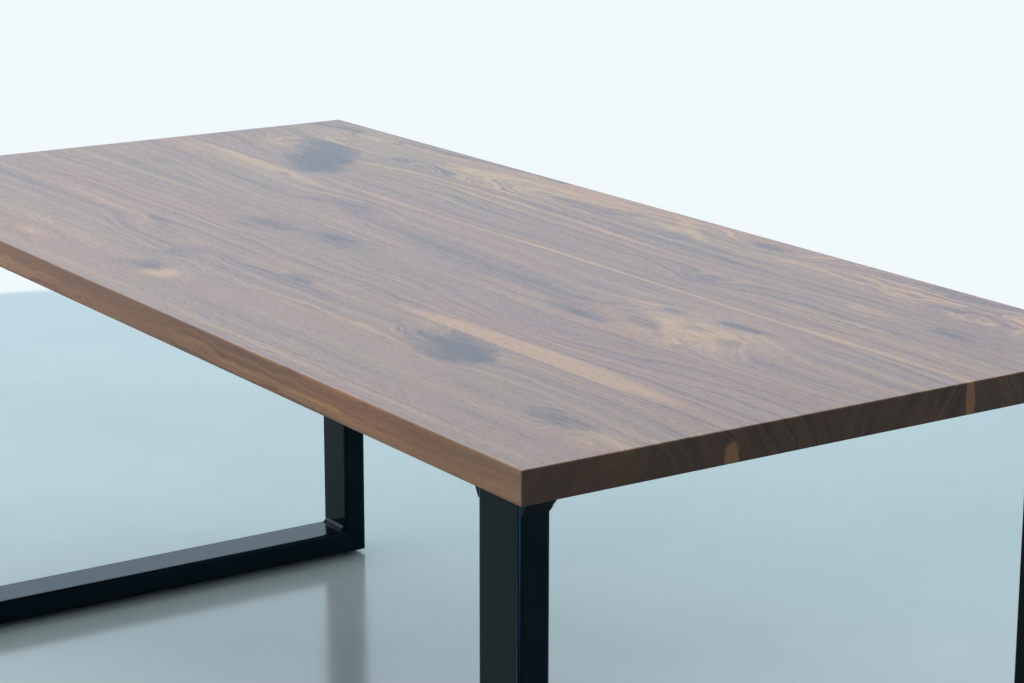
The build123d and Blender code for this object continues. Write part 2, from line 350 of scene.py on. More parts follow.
def walnut_material(node_name, board):
    """Oiled black walnut, sawn from one tree's rings, sanded fine. It gives the eye soft brown and
    violet bands, dark year lines, open pores along the grain, dark knots and a satin sheen."""
    look = bpy.context.scene.table_walnut
    low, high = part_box(node_name)
    front, face = low.y, high.z
    material, tree, shader = new_material("oiled_walnut_" + node_name[-1])
    coordinates = put(tree, "ShaderNodeTexCoord")
    place = coordinates.outputs["Object"]

    # Grain that wanders: slow swells first, then small waves
    swell = put(tree, "ShaderNodeMapping", {
        "Vector": place, "Location": (board.seed, 0, 0), "Scale": (1.2, 4.5, 4.5)})
    swell = put(tree, "ShaderNodeTexNoise", {"Vector": swell, "Scale": 1.0, "Detail": 3.0})
    swell = put(tree, "ShaderNodeVectorMath", {
        0: swell.outputs["Color"], 1: (-0.5, -0.5, -0.5)}, operation="ADD")
    swell = put(tree, "ShaderNodeVectorMath", {
        0: swell, 1: Vector((0.12, 0.085, 0.03)) * board.wander, 2: place,
    }, operation="MULTIPLY_ADD")
    wave = put(tree, "ShaderNodeMapping", {
        "Vector": swell, "Location": (0, board.seed, 0), "Scale": (6, 24, 24)})
    wave = put(tree, "ShaderNodeTexNoise", {"Vector": wave, "Scale": 1.0, "Detail": 2.0})
    wave = put(tree, "ShaderNodeVectorMath", {
        0: wave.outputs["Color"], 1: (-0.5, -0.5, -0.5)}, operation="ADD")
    wood = put(tree, "ShaderNodeVectorMath", {
        0: wave, 1: (0.03, 0.014, 0.01), 2: swell}, operation="MULTIPLY_ADD")

    # Distance from the heart of the tree
    heart = put(tree, "ShaderNodeMapping", {
        "Vector": wood,
        "Location": (0, front + board.heart_across * MM, face - board.heart_down * MM),
        "Rotation": (0, -math.atan(board.climb * MM), math.atan(board.drift * MM)),
        "Scale": (40, 1, 1)}, vector_type="TEXTURE")
    rings = put(tree, "ShaderNodeVectorMath", {0: heart}, operation="LENGTH").outputs["Value"]

    # What all the features add up to at each place
    totals = {"rise": rings, "tone": board.tone, "stain": 0.0, "sapwood": 0.0, "curl": 0.3}
    for feature in board.features:
        spot = put(tree, "ShaderNodeMapping", {
            "Vector": wood,
            "Location": (
                feature.along * MM, front + feature.across * MM, face - feature.down * MM),
            "Rotation": (0, 0, math.radians(feature.turn)),
            "Scale": (
                feature.reach_along * MM, feature.reach_across * MM, feature.reach_down * MM),
        }, vector_type="TEXTURE")
        spot = put(tree, "ShaderNodeTexGradient", {"Vector": spot}, gradient_type="SPHERICAL")
        soft = put(tree, "ShaderNodeMapRange", {
            "Value": spot.outputs["Fac"]}, interpolation_type="SMOOTHSTEP")
        for effect, amount in EFFECTS[feature.kind]._asdict().items():
            if amount:
                totals[effect] = put(tree, "ShaderNodeMath", {
                    0: soft, 1: amount * feature.strength, 2: totals[effect],
                }, operation="MULTIPLY_ADD").outputs[0]

    # Curly grain, strongest round knots and swirls
    curl = put(tree, "ShaderNodeMapping", {"Vector": wood, "Scale": (16, 42, 42)})
    curl = put(tree, "ShaderNodeTexNoise", {"Vector": curl, "Scale": 1.0, "Detail": 2.0})
    curl = put(tree, "ShaderNodeMath", {0: curl.outputs["Fac"], 1: 0.5}, operation="SUBTRACT")
    bent = put(tree, "ShaderNodeMath", {0: curl, 1: totals["curl"]}, operation="MULTIPLY")
    rings = put(tree, "ShaderNodeMath", {
        0: bent, 1: 0.035, 2: totals["rise"]}, operation="MULTIPLY_ADD")

    # Tone from broad bands, year lines, long streaks and the features
    band = put(tree, "ShaderNodeMath", {
        0: rings, 1: 1 / look.band_width, 2: board.seed}, operation="MULTIPLY_ADD")
    band = put(tree, "ShaderNodeTexNoise", {
        "W": band, "Scale": 1.0, "Detail": 2.5}, noise_dimensions="1D")
    year = put(tree, "ShaderNodeMath", {
        0: rings, 1: 1 / look.year_width, 2: board.seed}, operation="MULTIPLY_ADD")
    year = put(tree, "ShaderNodeTexNoise", {
        "W": year, "Scale": 1.0, "Detail": 2.0, "Roughness": 0.6}, noise_dimensions="1D")
    streak = put(tree, "ShaderNodeMapping", {"Vector": wood, "Scale": (5, 210, 210)})
    streak = put(tree, "ShaderNodeTexNoise", {"Vector": streak, "Scale": 1.0, "Detail": 3.0})
    mottle = put(tree, "ShaderNodeMapping", {"Vector": place, "Scale": (1.6, 9, 9)})
    mottle = put(tree, "ShaderNodeTexNoise", {"Vector": mottle, "Scale": 1.0, "Detail": 2.0})

    # Calm and lively places
    calm = put(tree, "ShaderNodeMapping", {
        "Vector": swell, "Location": (0, 0, board.seed), "Scale": (3.2, 13, 13)})
    calm = put(tree, "ShaderNodeTexNoise", {"Vector": calm, "Scale": 1.0, "Detail": 2.0})
    lively = put(tree, "ShaderNodeMapRange", {
        "Value": calm.outputs["Fac"], "From Min": 0.35, "From Max": 0.65,
        "To Min": 0.4 * board.contrast, "To Max": 1.6 * board.contrast})

    tone = totals["tone"]
    for part, weight in ((band, 0.8), (year, 0.55), (streak, 0.4), (mottle, 0.5)):
        part = put(tree, "ShaderNodeMath", {0: part.outputs["Fac"], 1: 0.5}, operation="SUBTRACT")
        part = put(tree, "ShaderNodeMath", {0: part, 1: weight}, operation="MULTIPLY")
        tone = put(tree, "ShaderNodeMath", {0: part, 1: lively, 2: tone}, operation="MULTIPLY_ADD")
    tone = put(tree, "ShaderNodeMath", {0: tone, 1: 0.5}, operation="ADD")
    heartwood = put(tree, "ShaderNodeValToRGB", {"Fac": tone})
    set_stops(heartwood, [
        (0.0, look.heartwood_dark), (0.3, look.heartwood_violet), (0.5, look.heartwood),
        (0.78, look.heartwood_light), (1.0, look.sapwood)])

    # Warm and cool places
    cast = put(tree, "ShaderNodeMapRange", {
        "Value": mottle.outputs["Color"], "From Min": 0.35, "From Max": 0.65})
    cast = put(tree, "ShaderNodeMix", {
        "Factor": cast, "A": look.warm_cast, "B": look.cool_cast}, data_type="RGBA")
    heartwood = put(tree, "ShaderNodeMix", {
        "Factor": 1.0, "A": heartwood, "B": cast}, data_type="RGBA", blend_type="MULTIPLY")

    # Sapwood has sharp, ragged edges
    ragged = put(tree, "ShaderNodeMath", {
        0: streak.outputs["Fac"], 1: 0.5, 2: totals["sapwood"]}, operation="MULTIPLY_ADD")
    ragged = put(tree, "ShaderNodeMapRange", {
        "Value": ragged, "From Min": 0.4, "From Max": 1.0}, interpolation_type="SMOOTHSTEP")
    sapwood = put(tree, "ShaderNodeMix", {
        "Factor": year.outputs["Fac"], "A": look.sapwood, "B": look.sapwood_line}, data_type="RGBA")
    colour = put(tree, "ShaderNodeMix", {
        "Factor": ragged, "A": heartwood, "B": sapwood}, data_type="RGBA")

    # Stain in the knots, uneven along the grain
    blot = totals["stain"]
    for part, weight in ((band, 1.4), (streak, 1.9), (mottle, 0.8)):
        part = put(tree, "ShaderNodeMath", {0: part.outputs["Fac"], 1: 0.5}, operation="SUBTRACT")
        blot = put(tree, "ShaderNodeMath", {0: part, 1: weight, 2: blot}, operation="MULTIPLY_ADD")
    blot = put(tree, "ShaderNodeMath", {0: curl, 1: 2.0, 2: blot}, operation="MULTIPLY_ADD")
    blot = put(tree, "ShaderNodeMapRange", {
        "Value": blot, "From Min": 0.16, "From Max": 1.05, "To Max": 0.96})
    stained = put(tree, "ShaderNodeMapRange", {
        "Value": totals["stain"], "From Max": 0.3})
    blot = put(tree, "ShaderNodeMath", {0: blot, 1: stained}, operation="MULTIPLY")
    lines = put(tree, "ShaderNodeMath", {
        0: year.outputs["Fac"], 1: 1.1, 2: -0.04}, operation="MULTIPLY_ADD")
    lines = put(tree, "ShaderNodeMath", {
        0: streak.outputs["Fac"], 1: 1.0, 2: lines}, operation="MULTIPLY_ADD", use_clamp=True)
    blot = put(tree, "ShaderNodeMath", {0: blot, 1: lines}, operation="MULTIPLY")
    colour = put(tree, "ShaderNodeMix", {
        "Factor": blot, "A": colour, "B": look.knot}, data_type="RGBA")

    # Open pores, dark and slightly sunk
    pores = put(tree, "ShaderNodeMapping", {
        "Vector": wood,
        "Scale": (1 / look.pore_length, 1 / look.pore_width, 1 / look.pore_width)})
    pores = put(tree, "ShaderNodeTexNoise", {"Vector": pores, "Scale": 1.0, "Detail": 1.0})
    pores = put(tree, "ShaderNodeMapRange", {
        "Value": pores.outputs["Fac"], "From Min": 0.56, "From Max": 0.74, "To Max": 0.45})
    colour = put(tree, "ShaderNodeMix", {
        "Factor": pores, "A": colour, "B": look.heartwood_dark}, data_type="RGBA")

    # End grain drinks the oil and goes dark
    facing = put(tree, "ShaderNodeSeparateXYZ", {"Vector": coordinates.outputs["Normal"]})
    facing = put(tree, "ShaderNodeMath", {0: facing.outputs["X"]}, operation="ABSOLUTE")
    facing = put(tree, "ShaderNodeMapRange", {
        "Value": facing, "From Min": 0.55, "From Max": 0.9})
    soaked = put(tree, "ShaderNodeMix", {
        "Factor": ragged, "A": look.end_heartwood, "B": look.end_sapwood}, data_type="RGBA")
    colour = put(tree, "ShaderNodeMix", {
        "Factor": facing, "A": colour, "B": soaked}, data_type="RGBA", blend_type="MULTIPLY")

    rough = put(tree, "ShaderNodeMath", {
        0: pores, 1: 0.45, 2: look.roughness}, operation="MULTIPLY_ADD")
    rough = put(tree, "ShaderNodeMath", {
        0: facing, 1: 0.16, 2: rough}, operation="MULTIPLY_ADD")
    rough = put(tree, "ShaderNodeMath", {
        0: mottle.outputs["Fac"], 1: 0.06, 2: rough}, operation="MULTIPLY_ADD")
    height = put(tree, "ShaderNodeMath", {
        0: pores, 1: -2.2, 2: year.outputs["Fac"]}, operation="MULTIPLY_ADD")
    bump = put(tree, "ShaderNodeBump", {
        "Height": height, "Strength": 0.25, "Distance": 0.0002})
    connect(tree, shader, colour, rough, bump)
    shader.inputs["Specular IOR Level"].default_value = look.oil_shine
    return material


class TABLE_OT_walnut_top(bpy.types.Operator):
    """Give each board of the top its own oiled walnut"""

    bl_idname = "table.walnut_top"
    bl_label = "Walnut top"

    def execute(self, context):
        for name, board in BOARDS.items():
            dress(frame["nodes"][name], walnut_material(name, board))
        return {"FINISHED"}


# Painted steel


def paint_material():
    """Semi-gloss black paint, sprayed on mild steel. It gives the eye a deep blue-black, faint
    orange peel and a brushed look where the mitres were ground flush."""
    look = bpy.context.scene.table_paint
    material, tree, shader = new_material("sprayed_black_paint")
    place = put(tree, "ShaderNodeTexCoord").outputs["Object"]
    dust = put(tree, "ShaderNodeTexNoise", {
        "Vector": place, "Scale": 9.0, "Detail": 4.0, "Roughness": 0.6})
    dust = put(tree, "ShaderNodeMapRange", {
        "Value": dust.outputs["Fac"], "From Min": 0.42, "From Max": 0.75})
    colour = put(tree, "ShaderNodeMix", {
        "Factor": dust, "A": look.colour, "B": look.worn}, data_type="RGBA")
    peel = put(tree, "ShaderNodeTexNoise", {
        "Vector": place, "Scale": 1 / look.peel, "Detail": 1.0})

    # The ground band along each mitre: |y| + z is the same there as at the frame's outer corner
    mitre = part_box("right_bottom_rail")[0].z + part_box("right_back_post")[1].y
    split = put(tree, "ShaderNodeSeparateXYZ", {"Vector": place})
    across = put(tree, "ShaderNodeMath", {0: split.outputs["Y"]}, operation="ABSOLUTE")
    across = put(tree, "ShaderNodeMath", {0: across, 1: split.outputs["Z"]}, operation="ADD")
    band = put(tree, "ShaderNodeMath", {
        0: across, 1: mitre, 2: look.ground_band}, operation="COMPARE")
    scuff = put(tree, "ShaderNodeMapping", {
        "Vector": place, "Rotation": (math.radians(45), 0, 0),
        "Scale": (90, 90, 900)})
    scuff = put(tree, "ShaderNodeTexNoise", {"Vector": scuff, "Scale": 1.0, "Detail": 2.0})
    scuff = put(tree, "ShaderNodeMath", {0: scuff.outputs["Fac"], 1: band}, operation="MULTIPLY")

    height = put(tree, "ShaderNodeMath", {
        0: scuff, 1: 1.5, 2: peel.outputs["Fac"]}, operation="MULTIPLY_ADD")
    bump = put(tree, "ShaderNodeBump", {
        "Height": height, "Strength": 0.12, "Distance": 0.0002})
    rough = put(tree, "ShaderNodeMath", {
        0: dust, 1: 0.1, 2: look.roughness}, operation="MULTIPLY_ADD")
    connect(tree, shader, colour, rough, bump)
    shader.inputs["Specular IOR Level"].default_value = look.shine
    shader.inputs["Specular Tint"].default_value = look.shine_tint
    return material


def shared(maker):
    """The material that maker makes, made once."""
    key = maker.__name__
    if key not in shared.made:
        shared.made[key] = maker()
    return shared.made[key]


shared.made = {}


class TABLE_OT_steel_frames(bpy.types.Operator):
    """Paint the posts, rails and mounting plates"""

    bl_idname = "table.steel_frames"
    bl_label = "Steel frames"

    def execute(self, context):
        for end in ENDS:
            for part in ("mounting_plate", "bottom_rail", "front_post", "back_post"):
                dress(frame["nodes"][f"{end}_{part}"], shared(paint_material))
        return {"FINISHED"}


# Meshes


def new_piece(name, bm, body, slot, material, *nodes, smooth_angle=40):
    """Make a piece from a bmesh, with its body, its finish and the CAD nodes that it stands for."""
    bmesh.ops.remove_doubles(bm, verts=bm.verts, dist=1e-6)
    bmesh.ops.recalc_face_normals(bm, faces=bm.faces)
    mesh = bpy.data.meshes.new(name)
    bm.to_mesh(mesh)
    bm.free()
    mesh.shade_smooth()
    mesh.set_sharp_from_angle(angle=math.radians(smooth_angle))
    piece = bpy.data.objects.new(name, mesh)
    bpy.context.scene.collection.objects.link(piece)
    mesh.materials.append(material)
    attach(piece, body)
    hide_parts(*nodes)


def swept_bead(bm, outline, stations):
    """Carry an outline, a closed loop of points, through the stations, which are matrices, and
    close both ends. Gives the rings of vertices, one for each station."""
    ring = [bmesh.ops.create_vert(bm, co=stations[0] @ Vector(p))["vert"][0] for p in outline]
    edges = [bm.edges.new((ring[i - 1], ring[i])) for i in range(len(ring))]
    bm.faces.new(ring)
    rings = [ring]
    for before, after in zip(stations, stations[1:]):
        made = bmesh.ops.extrude_edge_only(bm, edges=edges)["geom"]
        verts = [v for v in made if isinstance(v, bmesh.types.BMVert)]
        bmesh.ops.transform(bm, matrix=after @ before.inverted(), verts=verts)
        edges = [e for e in made if isinstance(e, bmesh.types.BMEdge) and len(e.link_faces) == 1]
        ring = [min(verts, key=lambda v, p=p: (v.co - after @ Vector(p)).length) for p in outline]
        rings.append(ring)
    bm.faces.new(ring)
    return rings


# Welds

TUBE_CORNER = 6 * MM  # outside radius of the tube
TOE = 0.8 * MM  # how far the top weld's lower edge stands off the tube
INSIDE = -1.8 * MM  # within the tube's wall, so that nothing opens at its rounded corner
CROWN = 0.4 * MM  # how far the corner weld stands out of its flat
BEAD_END = 4 * MM  # a bead's ripples and thickness fade over this length at its ends
PER_BEAD = 6  # points of the outline on each bead of the top weld
RISE = 0.8  # part of a ripple's pitch where it rises


def ripple(along, pitch):
    """Height of a weld's ripples, from 0 to 1: a slow rise and a quick fall."""
    phase = (along / pitch) % 1.0
    return phase**1.5 if phase < RISE else (1.0 - phase) / (1.0 - RISE) * RISE**1.5


def ease(distance, length):
    """Fade from 0 to 1 and back at the ends of a bead."""
    return max(0.0, min(1.0, distance / BEAD_END, (length - distance) / BEAD_END))


def top_weld(end, side):
    """The three-pass weld that flares from the post to the mounting plate on three sides."""
    look = bpy.context.scene.table_welds
    name = f"{end}_{side}_top_weld"
    low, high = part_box(name)
    post_low, post_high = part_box(f"{end}_{side}_post")
    sign = SIDES[side]
    centre = (low.x + high.x) / 2
    inner = post_low.y if sign > 0 else post_high.y
    outer = high.y if sign > 0 else low.y
    reach = high.x - post_high.x
    drop = high.z - low.z
    half = (post_high.x - post_low.x) / 2

    # The outline stands across the path: x away from the tube, z up from the weld's toe
    points = look.passes * PER_BEAD
    outline, weights = [(INSIDE, 0.0, 0.0), (TOE, 0.0, 0.0)], [0.0, 0.0]
    slope = Vector((reach - TOE, 0.0, drop))
    out = Vector((drop, 0.0, -(reach - TOE))).normalized()
    for k in range(1, points):
        within = (k % PER_BEAD) / PER_BEAD
        bulge = math.sqrt(max(0.0, 1 - (2 * within - 1) ** 2)) if k % PER_BEAD else 0.0
        point = Vector((TOE, 0.0, 0.0)) + slope * (k / points)
        point += out * look.bead_height * (bulge - 0.55)
        outline.append(tuple(point))
        weights.append(bulge)
    outline += [(reach, 0.0, drop), (INSIDE, 0.0, drop)]
    weights += [0.0, 0.0]

    # The path: down one side from the flush face, round two corners, and back up the other side
    step = look.ripple / 4
    stations, distances, travelled = [], [], 0.0
    straight = abs(outer - inner) - TUBE_CORNER
    bend = TUBE_CORNER * 3 * math.pi / 2
    for leg, length in enumerate((straight, bend, 2 * (half - TUBE_CORNER), bend, straight)):
        count = max(6, round(length / step))
        for k in range(count + (leg == 4)):
            share = k / count
            stations.append(weld_station(leg, share, straight, half))
            distances.append(travelled + share * length)
        travelled += length
    mirror = Matrix.Diagonal((1, -sign, 1, 1))
    put_there = Matrix.Translation((centre, inner, low.z)) @ mirror
    stations = [put_there @ s for s in stations]
    bm = bmesh.new()
    rings = swept_bead(bm, outline, stations)
    for ring, station, distance in zip(rings, stations, distances):
        normal = station.to_3x3() @ out
        height = look.ripple_height * ease(distance, travelled)
        for index, (vert, weight) in enumerate(zip(ring, weights)):
            if weight:
                lag = look.ripple * (0.9 * (1 - weight) + 0.37 * (index // PER_BEAD))
                vert.co += normal * height * weight * ripple(distance + lag, look.ripple)
    new_piece(
        name + "_beads", bm, "root", "black_paint", shared(paint_material), name, smooth_angle=50)


def weld_station(leg, share, straight, half):
    """Place of the outline on the top weld's path, whose five legs are straight, bend, straight,
    bend, straight. The tube's inner face lies on y = 0 and its body at y < 0."""
    quarter = math.pi / 2
    if leg == 0:
        turn, place = math.pi, Vector((-half, -TUBE_CORNER - straight * (1 - share), 0))
    elif leg == 2:
        turn, place = quarter, Vector(((half - TUBE_CORNER) * (2 * share - 1), 0, 0))
    elif leg == 4:
        turn, place = 0.0, Vector((half, -TUBE_CORNER - straight * share, 0))
    else:
        turn = quarter * (2 - share if leg == 1 else 1 - share)
        middle = Vector(((half - TUBE_CORNER) * (leg - 2), -TUBE_CORNER, 0))
        place = middle + TUBE_CORNER * Vector((math.cos(turn), math.sin(turn), 0))
    return Matrix.Translation(place) @ Matrix.Rotation(turn, 4, "Z")


def corner_weld(end, side):
    """The single bead in the inside corner of post and rail."""
    look = bpy.context.scene.table_welds
    name = f"{end}_{side}_corner_weld"
    low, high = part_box(name)
    sign = SIDES[side]
    leg = high.z - low.z
    root_y = high.y if sign > 0 else low.y
    length = high.x - low.x
    outline, weights, count = [(0.0, 0.0, 0.0)], [0.0], 10
    for k in range(count + 1):
        share = k / count
        bulge = math.sin(math.pi * share)
        outline.append((0.0, -leg * (1 - share) - bulge * CROWN, leg * share + bulge * CROWN))
        weights.append(bulge)

    # The bead gets thinner towards both ends
    steps = round(length / (look.ripple / 5))
    stations, distances = [], []
    put_there = Matrix.Translation((low.x, root_y, low.z)) @ Matrix.Diagonal((1, sign, 1, 1))
    for k in range(steps + 1):
        distance = length * k / steps
        size = 0.35 + 0.65 * math.sqrt(1 - (1 - ease(distance, length)) ** 2)
        distances.append(distance)
        stations.append(put_there @ Matrix.Translation((distance, 0, 0)) @ Matrix.Diagonal(
            (1, size, size, 1)))
    bm = bmesh.new()
    rings = swept_bead(bm, outline, stations)
    out = Vector((0, -sign, 1)).normalized()
    for ring, distance in zip(rings, distances):
        height = look.ripple_height * 1.2 * ease(distance, length)
        for vert, weight in zip(ring, weights):
            lag = look.ripple * 1.2 * (1 - weight)
            vert.co += out * height * weight * ripple(distance + lag, look.ripple)
    new_piece(
        name + "_bead", bm, "root", "black_paint", shared(paint_material), name, smooth_angle=50)


class TABLE_OT_weld_beads(bpy.types.Operator):
    """Lay the rippled welds at both ends of every post"""

    bl_idname = "table.weld_beads"
    bl_label = "Weld beads"

    def execute(self, context):
        for end, side in CORNERS:
            top_weld(end, side)
            corner_weld(end, side)
        return {"FINISHED"}


# Bolts, washers, inserts and nuts


def fixing_material(name, colours, clouds, grain, roughness, bump, metallic):
    """A small part's material: clouds between two colours, over a fine grain. Clouds and grain are
    a scale and a detail, roughness is its lowest value and how much the clouds add."""
    material, tree, shader = new_material(name)
    place = put(tree, "ShaderNodeTexCoord").outputs["Object"]
    cloud = put(tree, "ShaderNodeTexNoise", {
        "Vector": place, "Scale": clouds[0], "Detail": clouds[1]})
    colour = put(tree, "ShaderNodeMix", {
        "Factor": cloud, "A": colours[0], "B": colours[1]}, data_type="RGBA")
    rough = put(tree, "ShaderNodeMath", {
        0: cloud.outputs["Fac"], 1: roughness[1], 2: roughness[0]}, operation="MULTIPLY_ADD")
    fine = put(tree, "ShaderNodeMapping", {"Vector": place, "Scale": grain[0]})
    fine = put(tree, "ShaderNodeTexNoise", {"Vector": fine, "Scale": 1.0, "Detail": grain[1]})
    bump = put(tree, "ShaderNodeBump", {
        "Height": fine.outputs["Fac"], "Strength": bump, "Distance": 0.1 * MM})
    connect(tree, shader, colour, rough, bump)
    shader.inputs["Metallic"].default_value = metallic
    return material


def oxide_material():
    """Black oxide on machined steel. It gives the eye a dark, slightly oily metal."""
    look = bpy.context.scene.table_fixings
    return fixing_material(
        "black_oxide_steel", (look.oxide, look.oxide_bloom), clouds=(220.0, 3.0),
        grain=((1800, 1800, 1800), 1.0), roughness=(0.28, 0.25), bump=0.15, metallic=0.8)


def zinc_material():
    """Bright zinc plating on turned steel. It gives the eye a pale grey metal with cloudy spots."""
    look = bpy.context.scene.table_fixings
    return fixing_material(
        "zinc_plated_steel", (look.zinc, look.zinc_bloom), clouds=(260.0, 3.0),
        grain=((100, 100, 5000), 1.0), roughness=(0.2, 0.3), bump=0.1, metallic=1.0)


def nylon_material():
    """Moulded black nylon. It gives the eye a dull black with a fine spark-eroded grain."""
    look = bpy.context.scene.table_fixings
    return fixing_material(
        "moulded_black_nylon", (look.nylon, look.nylon_scuff), clouds=(150.0, 2.0),
        grain=((2500, 2500, 2500), 2.0), roughness=(0.5, 0.15), bump=0.3, metallic=0.0)


class TABLE_OT_fixings(bpy.types.Operator):
    """Finish the bolts, washers, threaded inserts and foot nuts"""

    bl_idname = "table.fixings"
    bl_label = "Fixings"

    def execute(self, context):
        for end in ENDS:
            dress(frame["nodes"][f"{end}_plate_bolts"], shared(oxide_material))
            dress(frame["nodes"][f"{end}_plate_washers"], shared(oxide_material))
            dress(frame["nodes"][f"{end}_threaded_inserts"], shared(zinc_material))
        for end, side in CORNERS:
            dress(frame["nodes"][f"{end}_{side}_foot_nut"], shared(zinc_material))
        return {"FINISHED"}


# Levelling feet

SEAT = 7.5 * MM  # radius of the pad's seat for the flange
FLUTE = 0.7 * MM  # depth of a grip flute
FLANGE = 7.45 * MM  # radius of the stud's flange
FLATS = 11 * MM  # across the flats of the hexagon collar
COLLAR_HEIGHT = 1.3 * MM
CREST = 4 * MM  # outside radius of the M8 thread
THREAD_DEPTH = 0.61  # of the pitch
RUN_OUT = 1 * MM  # length of the point at the thread's end


def turned_shape(bm, profile, place, steps=72):
    """Spin a profile, radius and height, all the way round an upright axis at place."""
    verts = [bmesh.ops.create_vert(bm, co=place + Vector((r, 0, z)))["vert"][0] for r, z in profile]
    edges = [bm.edges.new(pair) for pair in zip(verts, verts[1:])]
    bmesh.ops.spin(
        bm, geom=verts + edges, cent=place, axis=(0, 0, 1), dvec=(0, 0, 0),
        angle=2 * math.pi, steps=steps, use_merge=True, use_duplicate=False)


def foot_pad(end, side):
    """The nylon pad: a rounded disc with grip flutes round its rim and a groove underneath."""
    look = bpy.context.scene.table_fixings
    name = f"{end}_{side}_foot_pad"
    low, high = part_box(name)
    seat_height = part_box(f"{end}_{side}_foot_stud")[0].z - low.z
    place = Vector(((low.x + high.x) / 2, (low.y + high.y) / 2, low.z))
    radius, height = (high.x - low.x) / 2, high.z - low.z

    # From the middle of the underside over the ring it stands on and the groove to the rim, up,
    # and down into the seat
    bm = bmesh.new()
    turned_shape(bm, [
        (0, 0.0004), (0.0045, 0.0004), (0.0052, 0), (0.0070, 0), (0.0074, 0.0003),
        (0.0078, 0), (radius - 0.0008, 0), (radius - 0.0003, 0.0002), (radius, 0.0008),
        (radius, 0.0020), (radius, height - 0.0012), (radius - 0.0002, height - 0.0005),
        (radius - 0.0007, height - 0.0001), (radius - 0.0012, height), (SEAT + 0.0003, height),
        (SEAT, height - 0.0003), (SEAT, seat_height), (0, seat_height)], place)
    for vert in bm.verts:
        offset = Vector((vert.co.x - place.x, vert.co.y - place.y, 0))
        if offset.length > radius - 0.0004:
            angle = math.atan2(offset.y, offset.x) * look.grips
            dip = max(0.0, math.cos(angle) - 0.35) / 0.65
            vert.co -= offset.normalized() * FLUTE * dip**0.7
    new_piece(
        name + "_moulded", bm, f"{end}_{side}_foot", "black_nylon", shared(nylon_material), name,
        smooth_angle=35)


def foot_stud(end, side):
    """The stud: a flange in the pad, a hexagon collar and a rolled M8 thread."""
    look = bpy.context.scene.table_fixings
    name = f"{end}_{side}_foot_stud"
    low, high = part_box(name)
    pad_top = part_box(f"{end}_{side}_foot_pad")[1].z
    place = Vector(((low.x + high.x) / 2, (low.y + high.y) / 2, 0))
    collar_top = pad_top + COLLAR_HEIGHT
    bm = bmesh.new()
    turned_shape(bm, [
        (0, low.z), (FLANGE - 0.00025, low.z), (FLANGE, low.z + 0.0002),
        (FLANGE, pad_top - 0.0002), (FLANGE - 0.00025, pad_top), (0, pad_top)], place, 48)

    collar = bmesh.ops.create_circle(
        bm, cap_ends=True, segments=6, radius=FLATS / 2 / math.cos(math.pi / 6),
        matrix=Matrix.Translation(place + Vector((0, 0, pad_top))))["verts"]
    faces = list({f for v in collar for f in v.link_faces})
    made = bmesh.ops.extrude_face_region(bm, geom=faces)["geom"]
    upper = [v for v in made if isinstance(v, bmesh.types.BMVert)]
    bmesh.ops.translate(bm, verts=upper, vec=(0, 0, COLLAR_HEIGHT))
    rim = [e for e in {e for v in upper for e in v.link_edges}
           if all(abs(v.co.z - collar_top) < 1e-6 for v in e.verts)]
    bmesh.ops.bevel(
        bm, geom=rim, offset=0.0003, segments=2, profile=0.5, affect="EDGES", material=-1)

    # One pitch of the thread's flank, spun upwards
    pitch, steps = look.thread_pitch, 32
    root = CREST - THREAD_DEPTH * pitch
    flank = [
        (root, 0.0), (root, 0.125), (CREST, 0.4375), (CREST, 0.5625), (root, 0.875), (root, 1.0)]
    turns = math.ceil((high.z - collar_top) / pitch) + 2
    start = collar_top - pitch
    thread = bmesh.new()
    verts = [
        bmesh.ops.create_vert(thread, co=place + Vector((r, 0, start + z * pitch)))["vert"][0]
        for r, z in flank]
    edges = [thread.edges.new(pair) for pair in zip(verts, verts[1:])]
    bmesh.ops.spin(
        thread, geom=verts + edges, cent=place, axis=(0, 0, 1),
        dvec=(0, 0, pitch / steps), angle=2 * math.pi * turns, steps=steps * turns,
        use_merge=False, use_duplicate=False)
    bmesh.ops.remove_doubles(thread, verts=thread.verts, dist=2e-6)
    for height, up in ((collar_top, -1), (high.z, 1)):
        bmesh.ops.bisect_plane(
            thread, geom=thread.verts[:] + thread.edges[:] + thread.faces[:],
            plane_co=(0, 0, height), plane_no=(0, 0, up), clear_outer=True)
    bmesh.ops.holes_fill(thread, edges=[e for e in thread.edges if e.is_boundary], sides=0)
    for vert in thread.verts:
        offset = Vector((vert.co.x - place.x, vert.co.y - place.y, 0))
        most = CREST - max(0.0, vert.co.z - (high.z - RUN_OUT))
        if offset.length > most:
            vert.co -= offset.normalized() * (offset.length - most)
    scratch = bpy.data.meshes.new("thread")
    thread.to_mesh(scratch)
    thread.free()
    bm.from_mesh(scratch)
    bpy.data.meshes.remove(scratch)
    new_piece(
        name + "_threaded", bm, f"{end}_{side}_foot", "zinc_steel", shared(zinc_material), name,
        smooth_angle=30)


class TABLE_OT_levelling_feet(bpy.types.Operator):
    """Make the four levelling feet"""

    bl_idname = "table.levelling_feet"
    bl_label = "Levelling feet"

    def execute(self, context):
        for end, side in CORNERS:
            foot_pad(end, side)
            foot_stud(end, side)
        return {"FINISHED"}


# Stage

FLOOR_MIDDLE = (0, -0.3, 0)  # middle of the part of the floor that can be seen
FLOOR_REACH = 25.0
FADE = 0.03  # half the width of the step from floor to backdrop


